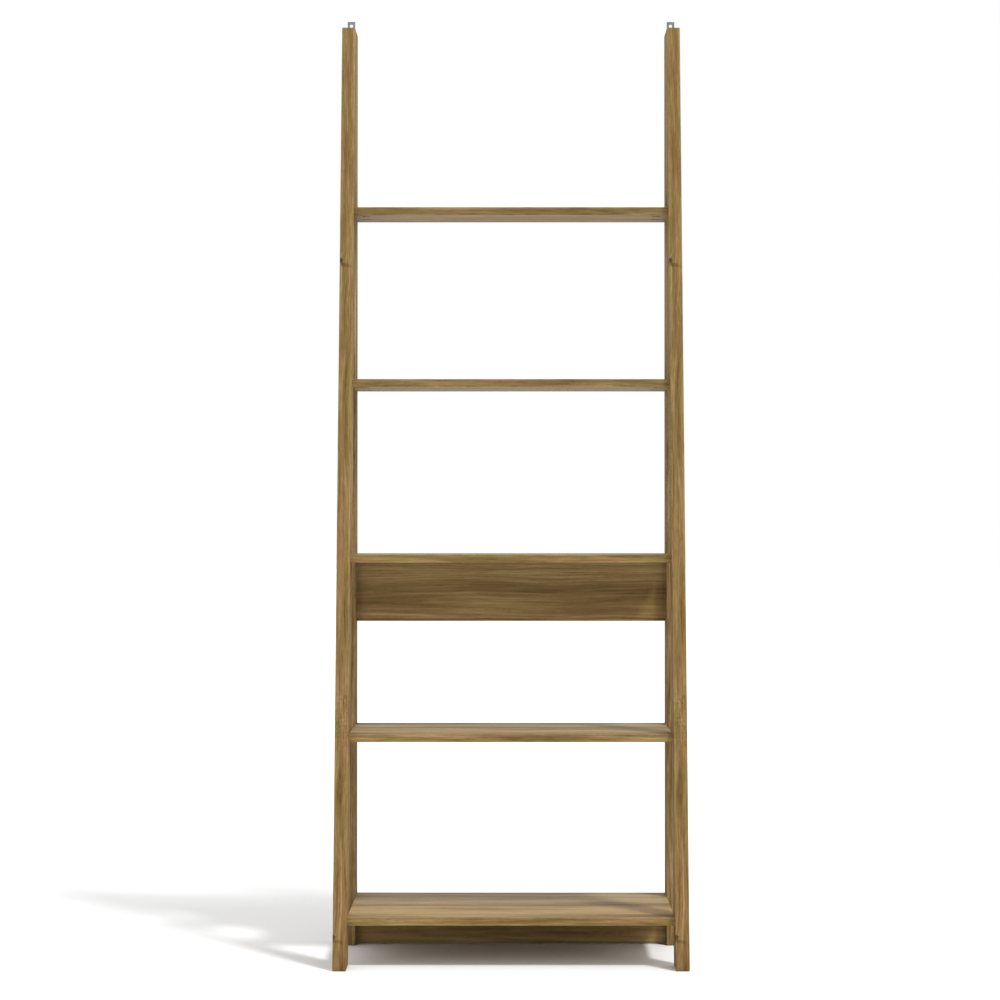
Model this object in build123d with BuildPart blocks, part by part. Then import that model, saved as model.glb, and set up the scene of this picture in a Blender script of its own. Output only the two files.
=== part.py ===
from build123d import *
import math
import os

os.makedirs("parts", exist_ok=True)

# A tall ladder shelf. Each side frame is a leaning front stile and an upright back post, which meet at
# the top. Five shelves and two back rails run between the side frames, and a steel plate on the back of
# each post takes a screw into the wall.
# X runs from left to right, Y from front to back and Z up. The origin is on the floor, under the middle
# of the whole shelf. All sizes are in millimetres.

# Overall size
overall_width = 700
overall_depth = 352
wood_height = 1904
top_depth = 89  # front to back, across the level top of a side frame

# Side frames
board_thickness = 27
board_width = 62
frame_dowels_below_top = (34, 104, 174)
frame_edge_radius = 2

# Shelves
shelf_names = ("bottom_shelf", "lower_shelf", "middle_shelf", "upper_shelf", "top_shelf")
shelf_thickness = 16
lowest_underside = 84.5
shelf_pitch = 356.5
shelf_setback = 16  # from the front of the stiles to the front of the shelf
shelf_edge_radius = 1

# Back rails, on edge in the middle of the posts, each under a shelf
rail_thickness = 16
rail_edge_radius = 1
middle_rail_height = 125
floor_gap = 1

# Wall plates
plate_width = 16
plate_length = 75
plate_thickness = 2
plate_corner_radius = 1.5
plate_above_wood = 30
wall_hole_radius = 3.5
wall_hole_below_plate_top = 9
plate_screws_below_wood_top = (13, 35)

# Countersunk plate screws
screw_head_radius = 3.5
screw_shank_radius = 1.75
screw_length = 20
screw_tip_length = 4
countersink_angle = 90
recess_length = 4
recess_width = 0.9
recess_depth = 1.2

# Wooden dowels
dowel_radius = 4
dowel_length = 35
dowel_in_frame = 15
frame_dowel_length = 40
dowel_chamfer = 1

# Cam bolts and cam locks
bolt_thread_radius = 3
bolt_thread_length = 11
bolt_shank_radius = 3
bolt_neck_radius = 1.9
bolt_head_radius = 3.2
bolt_head_length = 4
cam_radius = 7.5
cam_height = 12.5
cam_inset = 24  # from the end of the board to the middle of the cam lock
cam_slot_width = 4.6
cam_pocket_width = 7.4
cam_pocket_margin = 0.4
cam_recess_length = 9
cam_recess_width = 2
cam_recess_depth = 1.5

# Plastic caps over the cam locks, in the colour of the boards
cap_radius = 8.5
cap_thickness = 0.9
cap_edge_radius = 0.5
cap_plug_length = 1.2
cap_plug_gap = 0.2  # round the plug, in the cross recess of the cam lock

# Where the fasteners of a shelf stand, from its own front edge and from the front of the posts
front_dowel_in = 12
front_bolt_in = 31
back_bolt_in = 14
back_dowel_in = 42
rail_dowel_offset = 28  # above and below the bolt in the middle of a rail's height

# Gaps round the fasteners
radial_gap = 0.1
end_gap = 0.5

# Places and sizes that follow from those above
inner_x = overall_width / 2 - board_thickness
board_middle_x = overall_width / 2 - board_thickness / 2
front_y = -overall_depth / 2
plate_back_y = overall_depth / 2
back_y = plate_back_y - plate_thickness
post_front_y = back_y - board_width
rail_middle_y = (post_front_y + back_y) / 2
rail_back_y = rail_middle_y + rail_thickness / 2
lean_run = back_y - front_y - top_depth
lean_angle = math.atan(lean_run / wood_height)
stile_level_width = board_width / math.cos(lean_angle)
scarf_start_z = (post_front_y - front_y - stile_level_width) / math.tan(lean_angle)
shelf_length = 2 * inner_x
bottom_rail_height = lowest_underside - floor_gap
bolt_reach = cam_inset + bolt_head_length - 1
bolt_neck_start = cam_inset - cam_radius - 0.5
bolt_bore_radius = dowel_radius
plate_middle_z = wood_height + plate_above_wood - plate_length / 2
wall_hole_z = wood_height + plate_above_wood - wall_hole_below_plate_top

sides = {"left": -1, "right": 1}


def write(piece, name):
    """Labels a finished piece and writes it to its own STEP file."""
    piece.part.label = name
    export_step(piece.part, f"parts/{name}.step")


def stile_front_at(height):
    """The front face of the leaning stile at a height, along Y."""
    return front_y + height * math.tan(lean_angle)


def frame_places(side, points):
    """Planes on the inner face of a side frame, at (y, z) points, facing into the frame board."""
    return [Plane(origin=(side * inner_x, y, z), x_dir=(0, 1, 0), z_dir=(side, 0, 0)) for y, z in points]


def both_ends(points):
    return frame_places(-1, points) + frame_places(1, points)


# ---------------------------------------------------------------- where the shelves and rails stand
def shelf_underside(level):
    return lowest_underside + level * shelf_pitch


def shelf_front(level):
    return stile_front_at(shelf_underside(level) + shelf_thickness / 2) + shelf_setback


def shelf_bolt_points(level):
    middle_z = shelf_underside(level) + shelf_thickness / 2
    return [(shelf_front(level) + front_bolt_in, middle_z), (post_front_y + back_bolt_in, middle_z)]


def shelf_dowel_points(level):
    middle_z = shelf_underside(level) + shelf_thickness / 2
    return [(shelf_front(level) + front_dowel_in, middle_z), (post_front_y + back_dowel_in, middle_z)]


def rail_bolt_points(top_z, height):
    return [(rail_middle_y, top_z - height / 2)]


def rail_dowel_points(top_z, height):
    middle_z = top_z - height / 2
    return [(rail_middle_y, middle_z - rail_dowel_offset), (rail_middle_y, middle_z + rail_dowel_offset)]


levels = range(len(shelf_names))
rails = {
    "middle_back_rail": (shelf_underside(2), middle_rail_height),
    "bottom_back_rail": (shelf_underside(0), bottom_rail_height),
}
all_bolt_points = [point for level in levels for point in shelf_bolt_points(level)]
all_dowel_points = [point for level in levels for point in shelf_dowel_points(level)]
for rail_top, rail_height in rails.values():
    all_bolt_points += rail_bolt_points(rail_top, rail_height)
    all_dowel_points += rail_dowel_points(rail_top, rail_height)
stile_bolt_points = [point for point in all_bolt_points if point[0] < post_front_y]
stile_dowel_points = [point for point in all_dowel_points if point[0] < post_front_y]
post_bolt_points = [point for point in all_bolt_points if point[0] > post_front_y]
post_dowel_points = [point for point in all_dowel_points if point[0] > post_front_y]


def frame_dowel_places(side):
    """Planes on the front face of a post where it meets the stile, facing back into the post."""
    return [
        Plane(origin=(side * board_middle_x, post_front_y, wood_height - below), z_dir=(0, 1, 0))
        for below in frame_dowels_below_top
    ]


def plate_screw_places(side, y):
    """Planes facing back, at a depth along Y, where the wall plate's screws stand."""
    return [
        Plane(origin=(side * board_middle_x, y, wood_height - below), z_dir=(0, 1, 0))
        for below in plate_screws_below_wood_top
    ]


def shelf_cam_places(level):
    """Planes on the underside of a shelf, facing down, with local X towards the nearer end."""
    return [
        Plane(
            origin=(side * (inner_x - cam_inset), y, shelf_underside(level)),
            x_dir=(side, 0, 0),
            z_dir=(0, 0, -1),
        )
        for side in sides.values()
        for y, _ in shelf_bolt_points(level)
    ]


def rail_cam_places(top_z, height):
    """Planes on the back face of a rail, facing back, with local X towards the nearer end."""
    return [
        Plane(
            origin=(side * (inner_x - cam_inset), rail_back_y, z),
            x_dir=(side, 0, 0),
            z_dir=(0, 1, 0),
        )
        for side in sides.values()
        for _, z in rail_bolt_points(top_z, height)
    ]


# ---------------------------------------------------------------- the side frames
def drill_frame_board(side, bolt_points, dowel_points):
    """Blind holes in the inner face of a stile or post, for the bolts and dowels of shelves and rails."""
    with Locations(*frame_places(side, bolt_points)):
        Hole(bolt_thread_radius + radial_gap, bolt_thread_length + end_gap)
    with Locations(*frame_places(side, dowel_points)):
        Hole(dowel_radius + radial_gap, dowel_in_frame + end_gap)
    with Locations(*frame_dowel_places(side)):
        Hole(dowel_radius + radial_gap, frame_dowel_length / 2 + end_gap)


for side_name, side in sides.items():
    # The stile leans back from its level foot. Its upper end is cut upright, flat against the post.
    with BuildPart() as front_stile:
        with BuildSketch(Plane.YZ.offset(side * board_middle_x)):
            with BuildLine():
                Polyline(
                    (front_y, 0),
                    (front_y + stile_level_width, 0),
                    (post_front_y, scarf_start_z),
                    (post_front_y, wood_height),
                    (stile_front_at(wood_height), wood_height),
                    close=True,
                )
            make_face()
        extrude(amount=board_thickness / 2, both=True)
        long_edges = front_stile.edges().filter_by(Axis.X, reverse=True)
        foot_edges = front_stile.edges().filter_by(Axis.X).group_by(Axis.Z)[0]
        top_edges = front_stile.edges().filter_by(Axis.X).group_by(Axis.Z)[-1]
        fillet(long_edges + foot_edges + top_edges, frame_edge_radius)
        drill_frame_board(side, stile_bolt_points, stile_dowel_points)
    write(front_stile, f"front_stile_{side_name}")

    # The post stands upright behind the stile. Its back face also takes the wall plate's screws.
    with BuildPart() as back_post:
        with BuildSketch(Plane.XY):
            with Locations((side * board_middle_x, rail_middle_y)):
                Rectangle(board_thickness, board_width)
        extrude(amount=wood_height)
        fillet(back_post.edges(), frame_edge_radius)
        drill_frame_board(side, post_bolt_points, post_dowel_points)
        with Locations(*plate_screw_places(side, back_y)):
            Hole(screw_shank_radius + radial_gap, screw_length - plate_thickness + end_gap)
    write(back_post, f"back_post_{side_name}")

# ---------------------------------------------------------------- the shelves
for level, shelf_name in enumerate(shelf_names):
    with BuildPart() as shelf:
        with BuildSketch(Plane.XY.offset(shelf_underside(level))):
            with Locations((0, (shelf_front(level) + back_y) / 2)):
                Rectangle(shelf_length, back_y - shelf_front(level))
        extrude(amount=shelf_thickness)
        fillet(shelf.edges().filter_by(Axis.X), shelf_edge_radius)
        with Locations(*both_ends(shelf_bolt_points(level))):
            Hole(bolt_bore_radius, cam_inset)
        with Locations(*both_ends(shelf_dowel_points(level))):
            Hole(dowel_radius + radial_gap, dowel_length - dowel_in_frame + end_gap)
        with Locations(*shelf_cam_places(level)):
            Hole(cam_radius + radial_gap, cam_height + end_gap)
    write(shelf, shelf_name)

# ---------------------------------------------------------------- the back rails
for rail_name, (rail_top, rail_height) in rails.items():
    with BuildPart() as rail:
        with BuildSketch(Plane.XY.offset(rail_top - rail_height)):
            with Locations((0, rail_middle_y)):
                Rectangle(shelf_length, rail_thickness)
        extrude(amount=rail_height)
        fillet(rail.edges().filter_by(Axis.X), rail_edge_radius)
        with Locations(*both_ends(rail_bolt_points(rail_top, rail_height))):
            Hole(bolt_bore_radius, cam_inset)
        with Locations(*both_ends(rail_dowel_points(rail_top, rail_height))):
            Hole(dowel_radius + radial_gap, dowel_length - dowel_in_frame + end_gap)
        with Locations(*rail_cam_places(rail_top, rail_height)):
            Hole(cam_radius + radial_gap, cam_height + end_gap)
    write(rail, rail_name)

# ---------------------------------------------------------------- the wall plates and their screws
for side_name, side in sides.items():
    plate_origin = (side * board_middle_x, back_y, plate_middle_z)
    wall_hole_origin = (side * board_middle_x, plate_back_y, wall_hole_z)
    with BuildPart() as wall_bracket:
        with BuildSketch(Plane(origin=plate_origin, x_dir=(-1, 0, 0), z_dir=(0, 1, 0))):
            RectangleRounded(plate_width, plate_length, plate_corner_radius)
        extrude(amount=plate_thickness)
        with Locations(Plane(origin=wall_hole_origin, z_dir=(0, 1, 0))):
            Hole(wall_hole_radius)
        with Locations(*plate_screw_places(side, plate_back_y)):
            CounterSinkHole(
                screw_shank_radius + radial_gap,
                screw_head_radius + radial_gap,
                counter_sink_angle=countersink_angle,
            )
    write(wall_bracket, f"wall_bracket_{side_name}")

# One countersunk screw: its head's face is at local Z = 0, and it points along local -Z.
with BuildPart() as plate_screw:
    with BuildSketch(Plane.XZ):
        with BuildLine():
            Polyline(
                (0, 0),
                (screw_head_radius, 0),
                (screw_shank_radius, screw_shank_radius - screw_head_radius),
                (screw_shank_radius, screw_tip_length - screw_length),
                (0, -screw_length),
                close=True,
            )
        make_face()
    revolve(axis=Axis.Z)
    with BuildSketch(Plane.XY):
        Rectangle(recess_length, recess_width)
        Rectangle(recess_width, recess_length)
    extrude(amount=-recess_depth, mode=Mode.SUBTRACT)

with BuildPart() as wall_bracket_screws:
    with Locations(*plate_screw_places(-1, plate_back_y), *plate_screw_places(1, plate_back_y)):
        add(plate_screw.part)
write(wall_bracket_screws, "wall_bracket_screws")


# ---------------------------------------------------------------- dowels
def build_dowels(places, length, in_frame, name):
    """One group of wooden dowels, each reaching in_frame past its place along local Z."""
    with BuildPart() as dowels:
        with Locations(*[place.offset(in_frame - length / 2) for place in places]):
            Cylinder(dowel_radius, length)
        chamfer(dowels.edges().filter_by(GeomType.CIRCLE), dowel_chamfer)
    write(dowels, name)


# One cam bolt: local Z = 0 is the face of the frame board, its thread is above it and its head below.
with BuildPart() as cam_bolt:
    with BuildSketch(Plane.XZ):
        with BuildLine():
            Polyline(
                (0, -bolt_reach),
                (bolt_head_radius, -bolt_reach),
                (bolt_head_radius, bolt_head_length - bolt_reach),
                (bolt_neck_radius, bolt_head_length - bolt_reach),
                (bolt_neck_radius, -bolt_neck_start),
                (bolt_shank_radius, -bolt_neck_start),
                (bolt_thread_radius, bolt_thread_length),
                (0, bolt_thread_length),
                close=True,
            )
        make_face()
    revolve(axis=Axis.Z)
    chamfer(cam_bolt.edges().filter_by(GeomType.CIRCLE).group_by(Axis.Z)[-1], dowel_chamfer)
    chamfer(cam_bolt.edges().filter_by(GeomType.CIRCLE).group_by(Axis.Z)[0], dowel_chamfer)

# One cam lock: a round plug whose face, with a cross recess, is at local Z = 0. A slot along local X
# lets in the neck of the bolt, and a wider pocket in the middle holds its head.
bolt_axis_depth = shelf_thickness / 2
cam_pocket_length = bolt_head_length + 2 * cam_pocket_margin
cam_pocket_middle = bolt_head_length / 2 - bolt_reach + cam_inset
with BuildPart() as cam_lock:
    Cylinder(cam_radius, cam_height, align=(Align.CENTER, Align.CENTER, Align.MAX))
    with BuildSketch(Plane.XY):
        Rectangle(cam_recess_length, cam_recess_width)
        Rectangle(cam_recess_width, cam_recess_length)
    extrude(amount=-cam_recess_depth, mode=Mode.SUBTRACT)
    with Locations((0, 0, -bolt_axis_depth)):
        Box(
            cam_radius + cam_pocket_margin,
            cam_slot_width,
            cam_slot_width,
            align=(Align.MIN, Align.CENTER, Align.CENTER),
            mode=Mode.SUBTRACT,
        )
    with Locations((cam_pocket_middle, 0, -bolt_axis_depth)):
        Box(cam_pocket_length, cam_pocket_width, cam_pocket_width, mode=Mode.SUBTRACT)

# One cap: its disc lies on the face of the board, which is local Z = 0, and the cross-shaped plug under it
# goes into the recess of the cam lock.
with BuildPart() as cam_cap:
    Cylinder(cap_radius, cap_thickness, align=(Align.CENTER, Align.CENTER, Align.MIN))
    fillet(cam_cap.edges().group_by(Axis.Z)[-1], cap_edge_radius)
    with BuildSketch(Plane.XY):
        Rectangle(cam_recess_length - 2 * cap_plug_gap, cam_recess_width - 2 * cap_plug_gap)
        Rectangle(cam_recess_width - 2 * cap_plug_gap, cam_recess_length - 2 * cap_plug_gap)
    extrude(amount=-cap_plug_length)


def build_copies(master, places, name):
    """One group of identical fasteners, each standing on one of the places."""
    with BuildPart() as copies:
        with Locations(*places):
            add(master.part)
    write(copies, name)


# ---------------------------------------------------------------- the fasteners, group by group
build_dowels(
    frame_dowel_places(-1) + frame_dowel_places(1),
    frame_dowel_length,
    frame_dowel_length / 2,
    "frame_dowels",
)
for level, shelf_name in enumerate(shelf_names):
    shelf_dowel_places = both_ends(shelf_dowel_points(level))
    build_dowels(shelf_dowel_places, dowel_length, dowel_in_frame, f"{shelf_name}_dowels")
    build_copies(cam_bolt, both_ends(shelf_bolt_points(level)), f"{shelf_name}_cam_bolts")
    build_copies(cam_lock, shelf_cam_places(level), f"{shelf_name}_cam_locks")
    build_copies(cam_cap, shelf_cam_places(level), f"{shelf_name}_cam_caps")
for rail_name, (rail_top, rail_height) in rails.items():
    rail_dowel_places = both_ends(rail_dowel_points(rail_top, rail_height))
    build_dowels(rail_dowel_places, dowel_length, dowel_in_frame, f"{rail_name}_dowels")
    build_copies(cam_bolt, both_ends(rail_bolt_points(rail_top, rail_height)), f"{rail_name}_cam_bolts")
    build_copies(cam_lock, rail_cam_places(rail_top, rail_height), f"{rail_name}_cam_locks")
    build_copies(cam_cap, rail_cam_places(rail_top, rail_height), f"{rail_name}_cam_caps")
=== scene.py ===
import math
from collections import namedtuple

import bpy
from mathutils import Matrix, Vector


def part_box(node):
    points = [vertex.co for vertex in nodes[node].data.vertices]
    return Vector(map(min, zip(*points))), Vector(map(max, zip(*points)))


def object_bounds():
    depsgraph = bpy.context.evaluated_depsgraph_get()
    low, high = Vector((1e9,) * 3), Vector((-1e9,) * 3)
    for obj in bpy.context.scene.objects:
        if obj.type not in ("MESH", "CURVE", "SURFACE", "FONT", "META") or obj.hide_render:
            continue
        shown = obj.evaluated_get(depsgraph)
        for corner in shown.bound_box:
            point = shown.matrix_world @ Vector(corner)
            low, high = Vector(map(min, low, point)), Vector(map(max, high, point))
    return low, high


# A tall ladder shelf of brown oak boards, in a white studio. Lengths are in metres, in the CAD frame:
# X from left to right, Y from front to back, Z up. Every board stays the CAD's own; what is made here is
# its finish, the floor, the light and the camera.

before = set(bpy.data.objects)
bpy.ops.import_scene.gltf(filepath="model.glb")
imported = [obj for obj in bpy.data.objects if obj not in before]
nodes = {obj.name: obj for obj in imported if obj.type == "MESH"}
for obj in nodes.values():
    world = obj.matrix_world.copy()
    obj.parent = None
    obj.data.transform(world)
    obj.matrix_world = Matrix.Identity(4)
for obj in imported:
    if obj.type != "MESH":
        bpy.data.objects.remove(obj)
cad_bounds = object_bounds()

SIDES = ("left", "right")
STILE_DEPTH = 0.062  # square to its lean

RIGHT = Vector((1, 0, 0))
BACK = Vector((0, 1, 0))
UP = Vector((0, 0, 1))

# Camera: straight in front of the shelf, a little below its middle. The lens and the sensor are in
# millimetres, the shift in widths of the picture.
CAMERA_DISTANCE = 4.7175  # from the front of the feet
CAMERA_HEIGHT = 0.8805
CAMERA_TILT_UP = 0.54  # degrees
CAMERA_LENS = 86.64
CAMERA_SENSOR = 36
CAMERA_SHIFT = (-0.011, -0.0013)

# Light: a white surround, and one lamp in front of the shelf, to its right. Its angles are in degrees.
SURROUND = 1.0
SUN_STRENGTH = 2.2
SUN_ELEVATION = 55.7
SUN_TO_THE_RIGHT = 46.1
SUN_SOFTNESS = 8.6
SUN_DISTANCE = 4.0

# Floor: a square plane, just under the feet so that no two faces lie in one plane
FLOOR_REACH = 40.0
FLOOR_DROP = 0.0003
FLOOR_GREYS = ((0.825, 0.825, 0.825), (0.845, 0.845, 0.845))
FLOOR_CLOUDS = 1.5
FLOOR_ROUGHNESS = 0.9
FLOOR_SPECULAR = 0.1


# ---------------------------------------------------------------- a short way to write node trees
# The sockets of a mix node that take and give colours. Others share their names, so they go by number.
MIX_COLOURS = (6, 7)
MIX_RESULT = 2


class Tree:
    """A new material's nodes, ending in one Principled shader."""

    def __init__(self, name):
        self.material = bpy.data.materials.new(name)
        self.material.use_nodes = True
        self.nodes = self.material.node_tree.nodes
        self.links = self.material.node_tree.links
        self.nodes.clear()
        self.shader = self.nodes.new("ShaderNodeBsdfPrincipled")
        output = self.nodes.new("ShaderNodeOutputMaterial")
        self.links.new(self.shader.outputs["BSDF"], output.inputs["Surface"])

    def feed(self, socket, value):
        if isinstance(value, bpy.types.NodeSocket):
            self.links.new(value, socket)
        else:
            socket.default_value = value

    def add(self, kind, inputs=(), **settings):
        node = self.nodes.new(kind)
        for key, value in settings.items():
            setattr(node, key, value)
        for key, value in dict(inputs).items():
            self.feed(node.inputs[key], value)
        return node

    def math(self, operation, *values, clamp=False):
        node = self.add("ShaderNodeMath", operation=operation, use_clamp=clamp)
        for socket, value in zip(node.inputs, values):
            self.feed(socket, value)
        return node.outputs[0]

    def vector(self, x, y, z):
        return self.add("ShaderNodeCombineXYZ", {"X": x, "Y": y, "Z": z}).outputs[0]

    def dot(self, vector, direction):
        node = self.add("ShaderNodeVectorMath", {0: vector}, operation="DOT_PRODUCT")
        node.inputs[1].default_value = direction
        return node.outputs["Value"]

    def object_place(self):
        """The place on the object, in metres in the CAD frame."""
        return self.add("ShaderNodeTexCoord").outputs["Object"]

    def stretched(self, vector, scale):
        return self.add("ShaderNodeMapping", {"Vector": vector, "Scale": scale}).outputs[0]

    def noise(self, vector, detail, roughness=0.5, scale=1.0):
        inputs = {"Vector": vector, "Scale": scale, "Detail": detail, "Roughness": roughness}
        return self.add("ShaderNodeTexNoise", inputs).outputs["Fac"]

    def swing(self, noise, gain):
        """Noise about nought instead of about a half, times gain."""
        return self.math("MULTIPLY", self.math("SUBTRACT", noise, 0.5), gain)

    def between(self, value, low, high, to_low=0.0, to_high=1.0):
        """Eases from to_low to to_high as value goes from low to high."""
        inputs = {"Value": value, "From Min": low, "From Max": high, "To Min": to_low, "To Max": to_high}
        return self.add("ShaderNodeMapRange", inputs, interpolation_type="SMOOTHSTEP").outputs[0]

    def ramp(self, value, stops):
        node = self.add("ShaderNodeValToRGB", {"Fac": value})
        elements = node.color_ramp.elements
        while len(elements) < len(stops):
            elements.new(1.0)
        for element, (place, colour) in zip(elements, stops):
            element.position = place
            element.color = (*colour, 1.0)
        return node.outputs["Color"]

    def mix(self, share, first, second, blend="MIX"):
        node = self.add("ShaderNodeMix", data_type="RGBA", blend_type=blend)
        self.feed(node.inputs["Factor"], share)
        for socket, value in zip(MIX_COLOURS, (first, second)):
            whole = value if isinstance(value, bpy.types.NodeSocket) else (*value, 1.0)
            self.feed(node.inputs[socket], whole)
        return node.outputs[MIX_RESULT]

    def surface(self, colour, roughness, height, bump_strength, bump_distance):
        """Gives the shader its colour and roughness, and a bump with this height."""
        inputs = {"Height": height, "Strength": bump_strength, "Distance": bump_distance}
        bump = self.add("ShaderNodeBump", inputs)
        self.feed(self.shader.inputs["Base Color"], colour)
        self.feed(self.shader.inputs["Roughness"], roughness)
        self.feed(self.shader.inputs["Normal"], bump.outputs["Normal"])


def dress(names, material):
    """Gives the material to these CAD nodes."""
    for name in names:
        nodes[name].material_slots[0].material = material


# ---------------------------------------------------------------- oak
# A place on a board is u along the grain, v across the board and w through it, from its low corner. The
# tone of the wood runs from 0, its darkest, to 1.

# A board: its low corner, its three directions, and its size across and through
Board = namedtuple("Board", "name low along across through size")

# The heart of the tree, as seen from a board: its place, and its drift for each metre of u
Pith = namedtuple("Pith", "v w drift_v drift_w")

Finish = namedtuple("Finish", "specular roughness")
Knot = namedtuple("Knot", "u v radius")

# A veneered board: how much lighter its faces are than its front edge, partly their own tone and partly
# painted light on the upper faces, and the next leaf than these
Veneer = namedtuple("Veneer", "face_lift leaf_lift")

# How a board looks:
#   seed        picks the grain out of the noise
#   lightness   the tone that the grain plays about
#   figure      how strongly the grain shows
#   reach       how far the grain's streaks run
#   hue_spread  how wide the change from one tint to the other is, so the larger it is, the calmer
#   stain  a tint over it all; on the stiles and posts it is bluer, a painted sheen
#   veneer      a Veneer, if its faces have one
#   streaks  a (v, half width, change of tone) for each long streak; some of them are painted light and shade
#   knots       a Knot for each knot
#   flecks      a (u, length) for the stretch with ray flecks
#   heart       how much darker the middle is than both edges
Look = namedtuple(
    "Look", "pith seed finish lightness figure reach hue_spread stain veneer streaks knots flecks heart",
    defaults=(1.0, 1.0, 0.12, (1, 1, 1), None, (), (), None, 0.0))

OAK_TONES = (
    (0.00, (0.082, 0.042, 0.010)),
    (0.25, (0.138, 0.081, 0.022)),
    (0.50, (0.192, 0.121, 0.040)),
    (0.75, (0.262, 0.174, 0.067)),
    (1.00, (0.350, 0.250, 0.115)),
)
OLIVE = (0.92, 1.00, 0.80)
ORANGE = (1.06, 0.96, 1.02)
GREYED = (0.93, 0.97, 1.12)
WARMED = (1.00, 0.95, 0.88)
# The stiles and the posts are tinted bluer: a painted sheen, standing in for pale light reflected off their
# faces
STILE_SHEEN_TINT = (1.0, 1.0, 1.10)
POST_SHEEN_TINT = (1.0, 1.01, 1.19)
PORE_BROWN = (0.055, 0.030, 0.012)
KNOT_BROWN = (0.040, 0.022, 0.010)
END_BROWN = (0.075, 0.044, 0.019)
# the paler colour of the long edges: wear, and a painted highlight on the arrises
EDGE_WEAR_AND_HIGHLIGHT = (0.40, 0.29, 0.15)
SATIN = Finish(0.22, 0.50)
MATT = Finish(0.14, 0.72)

# Layers of noise: the length of the patches along the grain and their width; the detail and the roughness
# of the noise; its shift of the board's seed, or None where it is the same on every board; whether the
# board's reach makes its patches longer; and, where it swings a tone or a place, how far
Layer = namedtuple("Layer", "length width detail roughness shift reaches swing", defaults=(None,))
WANDER = Layer(0.45, 0.11, 3.0, 0.55, 0, True, 0.045)  # moves the grain across the board, in metres
CLOUDS = Layer(0.38, 0.050, 1.0, 0.50, 7, False, 0.70)
STREAKS = Layer(0.13, 0.0066, 3.0, 0.50, 0, True, 1.35)
TICKS = Layer(0.024, 0.0026, 2.0, 0.60, 0, True, 0.60)
FIBRES = Layer(0.045, 0.0010, 3.0, 0.65, None, False, 0.60)
PORES = Layer(0.012, 0.0006, 1.0, 0.50, None, False)
HUES = Layer(0.09, 0.0075, 2.0, 0.60, 3, True)
RAYS = Layer(0.0065, 0.0048, 2.0, 0.60, 5, False, 1.00)
# places where the edges are paler: wear and a painted highlight
EDGE_WEAR_AND_HIGHLIGHT_PATCHES = Layer(0.045, 1.0, 3.0, 0.50, 0, False)

# Growth rings: their width; the shares of a ring over which the pale early wood sets in and dies away, and
# its change of tone; and the bands, a noise with its own places for each ring and for each metre of u
RING_WIDTH = 0.0042
EARLY_WOOD_STARTS = (0.0, 0.12)
EARLY_WOOD_ENDS = (0.3, 0.8)
EARLY_WOOD_TONE = -0.08
BANDS_PER_RING = 0.45
BANDS_PER_METRE = 3.2
BANDS_DETAIL = 4.0
BANDS_ROUGHNESS = 0.62
BANDS_SWING = 1.35
WANDER_THROUGH = 0.4  # of the wander across the board

# Pores: where the noise is high enough, most of them in the early wood
PORE_STARTS = (0.6, 0.7)
PORES_IN_LATE_WOOD = 0.2
PORE_COLOUR = 0.6

# Veneer: the distances from the front over which its front edge gives way to a face; how far back the
# seam of the upper and of the under face is; the seam's edge and change of tone; and how far off along and
# across the grain the next leaf was cut. The grey of that leaf is faint on the under face.
EDGE_TO_FACE = (0.0008, 0.0060)
UPPER_SEAM = 0.152
UNDER_SEAM = 0.080
SEAM_EDGE = (0.0005, 0.0030)
SEAM_TONE = -0.50
NEXT_LEAF_ALONG = 2.7
NEXT_LEAF_ACROSS = -0.043
UNDER_TO_UPPER = (0.004, 0.012)
UNDER_FACE_GREY = 0.3

# Knots, in their own radii: how places are squeezed along the grain, which makes the knot long that way;
# its edge; its dusky band's slant, distance below the knot, fading, edge and change of tone; and how far
# it pushes the grain aside
KNOT_SQUEEZE = 0.75
KNOT_EDGE = (0.65, 1.15)
BAND_SLANT = 0.20
BAND_DISTANCE = 1.3
BAND_FADING = 0.03
BAND_EDGE = (0.0, 1.4)
BAND_TONE = -0.32
KNOT_PUSH = 2.6

# Knots are on the front edge: how deep their band, and the knot itself, go round to the sides
BAND_DEPTH = (0.002, 0.016)
KNOT_DEPTH = (0.020, 0.034)
KNOT_COLOUR = 0.92

# Long streaks wander with the grain, half as far, and are strongest where the clouds are dark
STREAK_WANDER = 0.5
STREAK_CLOUDS = (0.25, 0.6)
STREAK_STRENGTHS = (1.2, 0.7)

# The darker heart of a board: the square of the share of its half width at which the heart ends; how far
# the hue shifts with it; and how deep that shift goes
HEART_EDGE_SQUARED = 0.33
HEART_HUE = -0.6
HEART_DEPTH = (0.001, 0.006)

# Ray flecks: full and gone at these shares of the stretch's length, and faint on the sides
FLECKS_FULL = 0.2
FLECKS_GONE = 0.5
FLECKS_DEPTH = (0.004, 0.026)
FLECKS_ON_SIDES = 0.25

# End grain drinks more stain. It starts where the surface lies this squarely across the board.
END_STARTS = (0.6, 0.9)
END_COLOUR = 0.55

# Long edges are paler along a thin line, in places: partly wear from handling, partly a painted highlight on
# their rounded arrises
ARRIS = (0.0005, 0.0028)
EDGE_WEAR_AND_HIGHLIGHT_PLACES = (0.38, 0.58)
EDGE_WEAR_AND_HIGHLIGHT_SHARE = 0.25

# Lacquer: how much rougher it is on fibres, pores and end grain, how high pores and fibres stand, and the
# strength and the distance of that bump
FIBRE_ROUGHNESS = 0.16
PORE_ROUGHNESS = 0.2
END_ROUGHNESS = 0.15
PORE_HEIGHT = -0.8
FIBRE_HEIGHT = 0.35
OAK_BUMP = (0.5, 0.00015)


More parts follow.
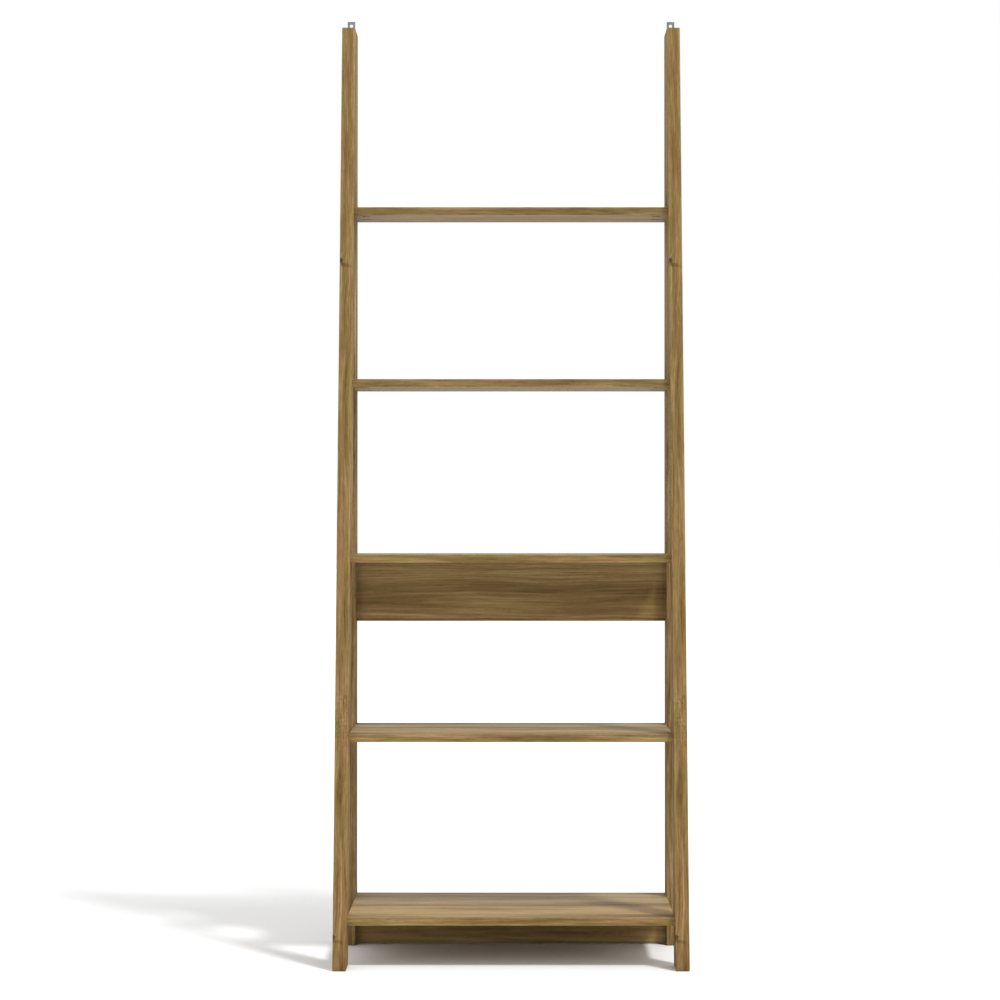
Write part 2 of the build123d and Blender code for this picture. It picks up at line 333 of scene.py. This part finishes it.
class Oak(Tree):
    """Stained oak for one board."""

    def __init__(self, board, look):
        super().__init__(f"oak_{board.name}")
        self.board = board
        self.look = look
        self.tone = look.lightness
        self.find_place()
        self.lay_veneer()
        self.place_knots()
        self.bend_grain()
        self.grow_rings()
        self.draw_grain()
        self.draw_streaks_and_painted_light()
        self.darken_heart()
        self.draw_ray_flecks()
        self.colour_wood()
        self.lacquer()

    def patches(self, layer, u, v, w):
        """The noise of one layer at this place."""
        length = layer.length * self.look.reach if layer.reaches else layer.length
        seed = 0.0 if layer.shift is None else self.look.seed + layer.shift
        place = self.vector(
            self.math("MULTIPLY_ADD", u, 1 / length, seed),
            self.math("MULTIPLY", v, 1 / layer.width),
            self.math("MULTIPLY", w, 1 / layer.width),
        )
        return self.noise(place, layer.detail, layer.roughness)

    def change_tone(self, where, change):
        self.tone = self.math("MULTIPLY_ADD", where, change, self.tone)

    def find_place(self):
        """The place on the board, and how much of the surface there is end grain."""
        surface = self.add("ShaderNodeTexCoord")
        place = surface.outputs["Object"]
        board = self.board
        axes = (board.along, board.across, board.through)
        self.u, self.v, self.w = [
            self.math("SUBTRACT", self.dot(place, axis), board.low.dot(axis)) for axis in axes]
        squarely = self.math("ABSOLUTE", self.dot(surface.outputs["Normal"], board.along))
        self.end = self.between(squarely, *END_STARTS)

    def lay_veneer(self):
        """Two leaves of veneer meet in a seam on each face. The next one is from another part of the tree."""
        self.leaf_u, self.leaf_v = self.u, self.v
        if not self.look.veneer:
            return
        face_tone_and_light, leaf_lift = self.look.veneer
        self.on_face = self.between(self.v, *EDGE_TO_FACE)
        self.on_upper = self.math("GREATER_THAN", self.w, self.board.size[1] / 2)
        seam = self.math("MULTIPLY_ADD", self.on_upper, UPPER_SEAM - UNDER_SEAM, UNDER_SEAM)
        from_seam = self.math("ABSOLUTE", self.math("SUBTRACT", self.v, seam))
        self.next_leaf = self.math("GREATER_THAN", self.v, seam)
        self.leaf_u = self.math("MULTIPLY_ADD", self.next_leaf, NEXT_LEAF_ALONG, self.u)
        self.leaf_v = self.math("MULTIPLY_ADD", self.next_leaf, NEXT_LEAF_ACROSS, self.v)
        # faces lighter than the front edge: partly the veneer's tone, partly painted light
        self.change_tone(self.on_face, face_tone_and_light)
        self.change_tone(self.between(from_seam, *SEAM_EDGE, 1.0, 0.0), SEAM_TONE)
        self.change_tone(self.next_leaf, leaf_lift)

    def place_knots(self):
        """How dark each place is with a knot, how dusky beside it, and how far the grain is pushed aside."""
        self.core, self.dusk, self.push = 0.0, 0.0, 0.0
        for knot in self.look.knots:
            along = self.math("MULTIPLY", self.math("SUBTRACT", self.u, knot.u), KNOT_SQUEEZE / knot.radius)
            aside = self.math("MULTIPLY", self.math("SUBTRACT", self.v, knot.v), 1 / knot.radius)
            aside_squared = self.math("MULTIPLY", aside, aside)
            squares = self.math("MULTIPLY_ADD", along, along, aside_squared)
            distance = self.math("SQRT", squares)
            self.core = self.math("MAXIMUM", self.core, self.between(distance, *KNOT_EDGE, 1.0, 0.0))
            # the dusky band slants away below the knot
            below = self.math("ADD", along, BAND_DISTANCE)
            slanted = self.math("MULTIPLY_ADD", aside, BAND_SLANT, below)
            fading = self.math("MULTIPLY", aside_squared, BAND_FADING)
            from_band = self.math("MULTIPLY_ADD", slanted, slanted, fading)
            self.dusk = self.math("MAXIMUM", self.dusk, self.between(from_band, *BAND_EDGE, 1.0, 0.0))
            near = self.math("DIVIDE", 1.0, self.math("MULTIPLY_ADD", distance, distance, 1.0))
            self.push = self.math("ADD", self.push, self.math("MULTIPLY", near, knot.radius * KNOT_PUSH))

    def bend_grain(self):
        """The grain wanders, and parts round the knots."""
        wander = self.patches(WANDER, self.leaf_u, self.leaf_v, self.w)
        self.wander = self.swing(wander, WANDER.swing / self.look.reach)
        grain_v = self.math("ADD", self.math("ADD", self.leaf_v, self.wander), self.push)
        grain_w = self.math("MULTIPLY_ADD", self.wander, WANDER_THROUGH, self.w)
        self.grain = (self.leaf_u, grain_v, grain_w)

    def grow_rings(self):
        """Growth rings round the pith, which drifts along the board, so that faces show long arches."""
        pith = self.look.pith
        u, v, w = self.grain
        from_v = self.math("SUBTRACT", v, self.math("MULTIPLY_ADD", u, pith.drift_v, pith.v))
        from_w = self.math("SUBTRACT", w, self.math("MULTIPLY_ADD", u, pith.drift_w, pith.w))
        squares = self.math("MULTIPLY_ADD", from_v, from_v, self.math("MULTIPLY", from_w, from_w))
        ring = self.math("MULTIPLY", self.math("SQRT", squares), 1 / RING_WIDTH)
        year = self.math("FRACT", ring)
        starting = self.between(year, *EARLY_WOOD_STARTS)
        ending = self.between(year, *EARLY_WOOD_ENDS, 1.0, 0.0)
        self.early_wood = self.math("MULTIPLY", starting, ending)
        across_rings = self.math("MULTIPLY", ring, BANDS_PER_RING)
        along_rings = self.math("MULTIPLY_ADD", u, BANDS_PER_METRE / self.look.reach, self.look.seed)
        self.bands = self.noise(self.vector(across_rings, along_rings, 0.0), BANDS_DETAIL, BANDS_ROUGHNESS)

    def draw_grain(self):
        """Bands of rings, broad clouds, streaks, short ticks and fibres, and the duskiness by a knot."""
        self.clouds = self.patches(CLOUDS, *self.grain)
        self.fibres = self.patches(FIBRES, *self.grain)
        pores = self.between(self.patches(PORES, *self.grain), *PORE_STARTS)
        in_ring = self.math("MULTIPLY_ADD", self.early_wood, 1 - PORES_IN_LATE_WOOD, PORES_IN_LATE_WOOD)
        self.pores = self.math("MULTIPLY", pores, in_ring)
        layers = (
            (self.bands, BANDS_SWING),
            (self.clouds, CLOUDS.swing),
            (self.patches(STREAKS, *self.grain), STREAKS.swing),
            (self.patches(TICKS, *self.grain), TICKS.swing),
            (self.fibres, FIBRES.swing),
        )
        for layer, gain in layers:
            self.tone = self.math("ADD", self.tone, self.swing(layer, gain * self.look.figure))
        self.change_tone(self.early_wood, EARLY_WOOD_TONE)
        if self.look.knots:
            dusk = self.math("MULTIPLY", self.dusk, self.between(self.w, *BAND_DEPTH, 1.0, 0.0))
            self.change_tone(dusk, BAND_TONE)

    def draw_streaks_and_painted_light(self):
        """Long streaks, on a veneered board on its upper face only. Some of them are painted light and shade
        rather than grain.
        """
        if not self.look.streaks:
            return
        wandering_v = self.math("MULTIPLY_ADD", self.wander, STREAK_WANDER, self.v)
        by_clouds = self.between(self.clouds, *STREAK_CLOUDS, *STREAK_STRENGTHS)
        for streak_v, half_width, change in self.look.streaks:
            away = self.math("ABSOLUTE", self.math("SUBTRACT", wandering_v, streak_v))
            strength = self.math("MULTIPLY", by_clouds, change)
            if self.look.veneer:
                strength = self.math("MULTIPLY", strength, self.on_upper)
            self.change_tone(self.between(away, 0.0, half_width, 1.0, 0.0), strength)

    def darken_heart(self):
        """The middle of the board is darker than both its edges."""
        off_middle = self.math("MULTIPLY_ADD", self.v, 2 / self.board.size[0], -1.0)
        self.outer = self.math("MULTIPLY_ADD", off_middle, off_middle, -HEART_EDGE_SQUARED)
        self.change_tone(self.outer, self.look.heart)

    def draw_ray_flecks(self):
        if not self.look.flecks:
            return
        fleck_u, length = self.look.flecks
        rays = self.swing(self.patches(RAYS, self.u, self.v, self.w), RAYS.swing)
        away = self.math("ABSOLUTE", self.math("SUBTRACT", self.u, fleck_u))
        here = self.between(away, FLECKS_FULL * length, FLECKS_GONE * length, 1.0, 0.0)
        here = self.math("MULTIPLY", here, self.between(self.w, *FLECKS_DEPTH, 1.0, FLECKS_ON_SIDES))
        self.change_tone(rays, here)

    def colour_wood(self):
        self.colour = self.ramp(self.tone, OAK_TONES)
        self.tint_grain()
        if self.look.veneer:
            self.tint_leaves()
        self.colour = self.mix(self.math("MULTIPLY", self.pores, PORE_COLOUR), self.colour, PORE_BROWN)
        if self.look.knots:
            depth = self.between(self.w, *KNOT_DEPTH, KNOT_COLOUR, 0.0)
            self.colour = self.mix(self.math("MULTIPLY", self.core, depth), self.colour, KNOT_BROWN)
        self.colour = self.mix(self.math("MULTIPLY", self.end, END_COLOUR), self.colour, END_BROWN)
        # paler long edges: wear, and a painted highlight
        self.colour = self.mix(self.math("MULTIPLY", self.edge_wear_and_highlight(), EDGE_WEAR_AND_HIGHLIGHT_SHARE), self.colour, EDGE_WEAR_AND_HIGHLIGHT)

    def tint_grain(self):
        """The grain shifts between olive and orange, and on the front the heart is more orange."""
        on_front = self.math("MULTIPLY", self.outer, self.between(self.w, *HEART_DEPTH, 1.0, 0.0))
        hue = self.patches(HUES, *self.grain)
        hue = self.math("MULTIPLY_ADD", on_front, HEART_HUE * self.look.heart, hue)
        spread = self.look.hue_spread
        hue = self.between(hue, 0.5 - spread, 0.5 + spread)
        # both tints take the board's tint, which on the stiles and posts is a painted sheen
        tints = [tuple(t * s for t, s in zip(tint, self.look.stain)) for tint in (OLIVE, ORANGE)]
        self.colour = self.mix(1.0, self.colour, self.mix(hue, *tints), "MULTIPLY")

    def tint_leaves(self):
        """The first leaf of the upper face is warmer, and the next leaf of either face greyer."""
        upper_veneer = self.math("MULTIPLY", self.on_upper, self.on_face)
        warmer = self.math("SUBTRACT", upper_veneer, self.next_leaf, clamp=True)
        self.colour = self.mix(warmer, self.colour, WARMED, "MULTIPLY")
        by_face = self.between(self.w, *UNDER_TO_UPPER, UNDER_FACE_GREY, 1.0)
        greyer = self.math("MULTIPLY", self.next_leaf, by_face)
        self.colour = self.mix(greyer, self.colour, GREYED, "MULTIPLY")

    def edge_wear_and_highlight(self):
        """Where the board's long edges are paler: wear, and a painted highlight on the arrises."""
        inside = []
        for place, side in zip((self.v, self.w), self.board.size):
            off_middle = self.math("ABSOLUTE", self.math("SUBTRACT", place, side / 2))
            inside.append(self.math("SUBTRACT", side / 2, off_middle))
        by_edge = self.between(self.math("MAXIMUM", *inside), *ARRIS, 1.0, 0.0)
        places = self.between(self.patches(EDGE_WEAR_AND_HIGHLIGHT_PATCHES, self.u, self.v, self.w), *EDGE_WEAR_AND_HIGHLIGHT_PLACES)
        return self.math("MULTIPLY", by_edge, places)

    def lacquer(self):
        """The gloss of the finish, duller on fibres, pores and end grain, and its relief."""
        specular, roughness = self.look.finish
        roughness = self.math("MULTIPLY_ADD", self.fibres, FIBRE_ROUGHNESS, roughness)
        roughness = self.math("MULTIPLY_ADD", self.pores, PORE_ROUGHNESS, roughness)
        roughness = self.math("MULTIPLY_ADD", self.end, END_ROUGHNESS, roughness)
        height = self.math("MULTIPLY", self.fibres, FIBRE_HEIGHT)
        height = self.math("MULTIPLY_ADD", self.pores, PORE_HEIGHT, height)
        self.shader.inputs["Specular IOR Level"].default_value = specular
        self.surface(self.colour, roughness, height, *OAK_BUMP)


# ---------------------------------------------------------------- boards
# Each shelf's lightness and its veneer. The lift of its faces is partly painted light, most on the bottom
# shelf's upper face.
SHELF_TONES = {
    "bottom_shelf": (0.53, Veneer(0.20, -0.03)),
    "lower_shelf": (0.48, Veneer(0.09, 0.07)),
    "middle_shelf": (0.55, Veneer(0.01, -0.03)),
    "upper_shelf": (0.50, Veneer(0.06, -0.03)),
    "top_shelf": (0.50, Veneer(0.06, -0.03)),
}
SHELF_PITH = Pith(v=0.11, w=-0.05, drift_v=0.03, drift_w=0.035)
SHELF_SEEDS = (11.0, 4.3)  # the first shelf's, and the step to the next one's

# The rails are lighter than the shelves, the bottom one most: painted light, lifting them in the shade under
# the shelves
RAIL_LIGHTNESS_WITH_PAINTED_LIGHT = {"middle_back_rail": 0.60, "bottom_back_rail": 0.80}
RAIL_PITH_HEIGHT = 0.30  # of the rail's height
RAIL_SEEDS = (41.0, 5.3)

# The long streaks of the shelves and of the rails. Each has its place, from the front of a shelf in metres
# or as a share of the height of a rail; its half width in metres; and its change of tone.
SHELF_STREAKS_AND_PAINTED_LIGHT = (
    (0.014, 0.013, -0.12),
    (0.064, 0.042, 0.38),
    (0.110, 0.050, 0.18),
    (0.158, 0.010, -0.20),
    (0.212, 0.048, 0.44),
    # these two paint light into the back of the upper face, where the shelf above casts its shade
    (0.284, 0.016, 0.22),
    (0.290, 0.080, 0.15),
)
RAIL_STREAKS_AND_PAINTED_LIGHT = (
    # paints light into the top of the rail, in the shade under the shelf
    (0.80, 0.045, 0.32),
    (0.57, 0.026, -0.25),
    (0.49, 0.005, -0.18),
    (0.38, 0.034, -0.07),
    # these two paint a highlight, and below it a shade line, along the rounded bottom edge
    (0.07, 0.012, 0.12),
    (0.03, 0.003, -0.30),
)

POST_LOOK = Look(
    Pith(v=-0.03, w=0.02, drift_v=0.01, drift_w=0.02), seed=61.0, finish=MATT, lightness=0.58,
    stain=POST_SHEEN_TINT)
UPPER_KNOT = Knot(u=1.427, v=0.0025, radius=0.0042)
FOOT_KNOT = Knot(u=0.066, v=0.002, radius=0.0036)
STILE_LOOK = Look(
    Pith(v=-0.035, w=0.030, drift_v=0.006, drift_w=-0.02), seed=111.1, finish=MATT, lightness=0.52,
    figure=0.85, stain=STILE_SHEEN_TINT, knots=(UPPER_KNOT, FOOT_KNOT), flecks=(0.495, 0.15), heart=0.18)
STILE_END = 0.01  # the corners of its foot and of its head are this near its lowest and its highest point


def lean_of(stile):
    """How far back a stile leans for each metre of height."""
    low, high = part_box(stile)
    points = [vertex.co for vertex in nodes[stile].data.vertices]
    foot = min(p.y for p in points if p.z < low.z + STILE_END)
    head = min(p.y for p in points if p.z > high.z - STILE_END)
    return (head - foot) / (high.z - low.z)


def dress_shelves():
    first_seed, step = SHELF_SEEDS
    for index, (name, (lightness, veneer)) in enumerate(SHELF_TONES.items()):
        low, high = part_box(name)
        board = Board(name, low, RIGHT, BACK, UP, (high.y - low.y, high.z - low.z))
        look = Look(
            SHELF_PITH, seed=first_seed + step * index, finish=SATIN, lightness=lightness, figure=0.92,
            reach=1.4, veneer=veneer, streaks=SHELF_STREAKS_AND_PAINTED_LIGHT)
        dress([name], Oak(board, look).material)


def dress_rails():
    first_seed, step = RAIL_SEEDS
    for index, (name, lightness) in enumerate(RAIL_LIGHTNESS_WITH_PAINTED_LIGHT.items()):
        low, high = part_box(name)
        height = high.z - low.z
        board = Board(name, low, RIGHT, UP, BACK, (height, high.y - low.y))
        pith = Pith(v=RAIL_PITH_HEIGHT * height, w=-0.045, drift_v=-0.008, drift_w=0.012)
        streaks = [(share * height, half_width, change) for share, half_width, change in RAIL_STREAKS_AND_PAINTED_LIGHT]
        look = Look(
            pith, seed=first_seed + step * index, finish=SATIN, lightness=lightness, figure=0.68,
            reach=1.5, hue_spread=0.27, streaks=streaks)
        dress([name], Oak(board, look).material)


def dress_post(name):
    low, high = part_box(name)
    board = Board(name, low, UP, RIGHT, BACK, (high.x - low.x, high.y - low.y))
    dress([name], Oak(board, POST_LOOK).material)


def dress_stile(name):
    low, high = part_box(name)
    lean = math.atan(lean_of(name))
    along = Vector((0, math.sin(lean), math.cos(lean)))
    through = Vector((0, math.cos(lean), -math.sin(lean)))
    board = Board(name, low, along, RIGHT, through, (high.x - low.x, STILE_DEPTH))
    dress([name], Oak(board, STILE_LOOK).material)


def dress_boards():
    dress_shelves()
    dress_rails()
    for side in SIDES:
        dress_post(f"back_post_{side}")
        dress_stile(f"front_stile_{side}")


# ---------------------------------------------------------------- fastenings
ZINC_PLATE = (0.62, 0.62, 0.60)
CAST_ZINC = (0.52, 0.52, 0.53)
SATIN_STEEL = (0.29, 0.29, 0.30)
METAL_DULLED = 0.72  # the share of a metal's colour where it is dullest
METAL_SCRATCHES = 0.6  # how strongly scratches show in the clouds
METAL_ROUGHNESS_SWING = 0.22

BEECH_TONES = ((0.3, (0.42, 0.26, 0.13)), (0.5, (0.60, 0.42, 0.25)), (0.7, (0.72, 0.55, 0.36)))
BEECH_SMOOTHEST = 0.55
BROWN_PLASTIC = ((0.150, 0.090, 0.032), (0.205, 0.128, 0.048))
PLASTIC_SMOOTHEST = 0.45
PLASTIC_SPECULAR = 0.25
ROUGHNESS_SWING = 0.2
NOISE_MIDDLE = (0.3, 0.7)  # where clouds of noise go from one colour to the other

# Scales of clouds of noise, and of the fine texture of plastic
METAL_CLOUDS = 90
PLASTIC_CLOUDS = 220
PLASTIC_TEXTURE = 2600

# Scales of stretched noise: for each of X, Y and Z, low along a grain and high across it
FINE = 2500
COARSE = 90
ALONG_X = (COARSE, FINE, FINE)
ALONG_Y = (FINE, COARSE, FINE)
BRUSHED_UPWARDS = (FINE, FINE, 60)
CAST = (700, 700, 700)
BEECH_ALONG_X = (60, 1400, 1400)


def metal(name, colour, roughness, grain):
    """Plated or cast metal: clouded, finely scratched along grain, its scale for X, Y and Z."""
    tree = Tree(name)
    place = tree.object_place()
    scratches = tree.noise(tree.stretched(place, grain), detail=4.0, roughness=0.7)
    clouds = tree.noise(place, detail=3.0, scale=METAL_CLOUDS)
    dulled = tuple(METAL_DULLED * c for c in colour)
    shade = tree.math("MULTIPLY_ADD", tree.math("SUBTRACT", scratches, 0.5), METAL_SCRATCHES, clouds)
    smoothest = roughness - METAL_ROUGHNESS_SWING / 2
    tree.shader.inputs["Metallic"].default_value = 1.0
    tree.surface(
        tree.mix(tree.between(shade, *NOISE_MIDDLE), dulled, colour),
        tree.math("MULTIPLY_ADD", shade, METAL_ROUGHNESS_SWING, smoothest),
        scratches, bump_strength=0.25, bump_distance=0.00005)
    return tree.material


def beech(name):
    tree = Tree(name)
    fibres = tree.noise(tree.stretched(tree.object_place(), BEECH_ALONG_X), detail=3.0, roughness=0.6)
    roughness = tree.math("MULTIPLY_ADD", fibres, ROUGHNESS_SWING, BEECH_SMOOTHEST)
    tree.surface(tree.ramp(fibres, BEECH_TONES), roughness, fibres, bump_strength=0.4, bump_distance=0.0001)
    return tree.material


def moulded_plastic(name):
    """Plastic moulded in the brown of the boards: softly clouded, with a fine matt texture."""
    tree = Tree(name)
    place = tree.object_place()
    clouds = tree.noise(place, detail=3.0, scale=PLASTIC_CLOUDS)
    matt = tree.noise(place, detail=2.0, scale=PLASTIC_TEXTURE)
    colour = tree.mix(tree.between(clouds, *NOISE_MIDDLE), *BROWN_PLASTIC)
    roughness = tree.math("MULTIPLY_ADD", matt, ROUGHNESS_SWING, PLASTIC_SMOOTHEST)
    tree.shader.inputs["Specular IOR Level"].default_value = PLASTIC_SPECULAR
    tree.surface(colour, roughness, matt, bump_strength=0.3, bump_distance=0.00004)
    return tree.material


def ending(kind):
    """The CAD nodes whose names end in kind."""
    return [name for name in nodes if name.endswith(kind)]


def dress_fastenings():
    dress(ending("cam_caps"), moulded_plastic("brown_cap_plastic"))
    dress(ending("dowels"), beech("beech_dowel"))
    dress(ending("cam_bolts"), metal("zinc_plated_bolt", ZINC_PLATE, roughness=0.34, grain=ALONG_X))
    dress(ending("cam_locks"), metal("cast_zinc_cam", CAST_ZINC, roughness=0.5, grain=CAST))
    dress(["wall_bracket_screws"], metal("zinc_plated_screw", ZINC_PLATE, roughness=0.32, grain=ALONG_Y))
    plates = [f"wall_bracket_{side}" for side in SIDES]
    dress(plates, metal("satin_steel_plate", SATIN_STEEL, roughness=0.42, grain=BRUSHED_UPWARDS))


# ---------------------------------------------------------------- studio
def make_floor():
    mesh = bpy.data.meshes.new("floor")
    corners = [(x * FLOOR_REACH, y * FLOOR_REACH, 0) for x, y in ((-1, -1), (1, -1), (1, 1), (-1, 1))]
    mesh.from_pydata(corners, [], [(0, 1, 2, 3)])
    floor = bpy.data.objects.new("floor", mesh)
    floor.location.z = -FLOOR_DROP
    bpy.context.scene.collection.objects.link(floor)
    tree = Tree("pale_floor")
    clouds = tree.noise(tree.object_place(), detail=3.0, scale=FLOOR_CLOUDS)
    tree.feed(tree.shader.inputs["Base Color"], tree.mix(clouds, *FLOOR_GREYS))
    tree.shader.inputs["Roughness"].default_value = FLOOR_ROUGHNESS
    tree.shader.inputs["Specular IOR Level"].default_value = FLOOR_SPECULAR
    mesh.materials.append(tree.material)


def make_light():
    world = bpy.data.worlds.new("white_surround")
    world.use_nodes = True
    background = world.node_tree.nodes["Background"]
    background.inputs["Color"].default_value = (1, 1, 1, 1)
    background.inputs["Strength"].default_value = SURROUND
    bpy.context.scene.world = world

    lamp = bpy.data.lights.new("sun", "SUN")
    lamp.energy = SUN_STRENGTH
    lamp.angle = math.radians(SUN_SOFTNESS)
    sun = bpy.data.objects.new("sun", lamp)
    elevation, right = math.radians(SUN_ELEVATION), math.radians(SUN_TO_THE_RIGHT)
    level = math.cos(elevation)
    towards = Vector((level * math.sin(right), -level * math.cos(right), math.sin(elevation)))
    sun.rotation_mode = "QUATERNION"
    sun.rotation_quaternion = towards.to_track_quat("Z", "Y")
    sun.location = SUN_DISTANCE * towards
    bpy.context.scene.collection.objects.link(sun)


def make_camera():
    low, high = cad_bounds
    camera = bpy.data.cameras.new("camera")
    camera.lens = CAMERA_LENS
    camera.sensor_width = CAMERA_SENSOR
    camera.shift_x, camera.shift_y = CAMERA_SHIFT
    eye = bpy.data.objects.new("camera", camera)
    eye.location = ((low.x + high.x) / 2, low.y - CAMERA_DISTANCE, CAMERA_HEIGHT)
    eye.rotation_euler = (math.radians(90 + CAMERA_TILT_UP), 0, 0)
    bpy.context.scene.collection.objects.link(eye)
    bpy.context.scene.camera = eye
    bpy.context.scene.view_settings.view_transform = "Standard"


dress_boards()
dress_fastenings()
make_floor()
make_light()
make_camera()
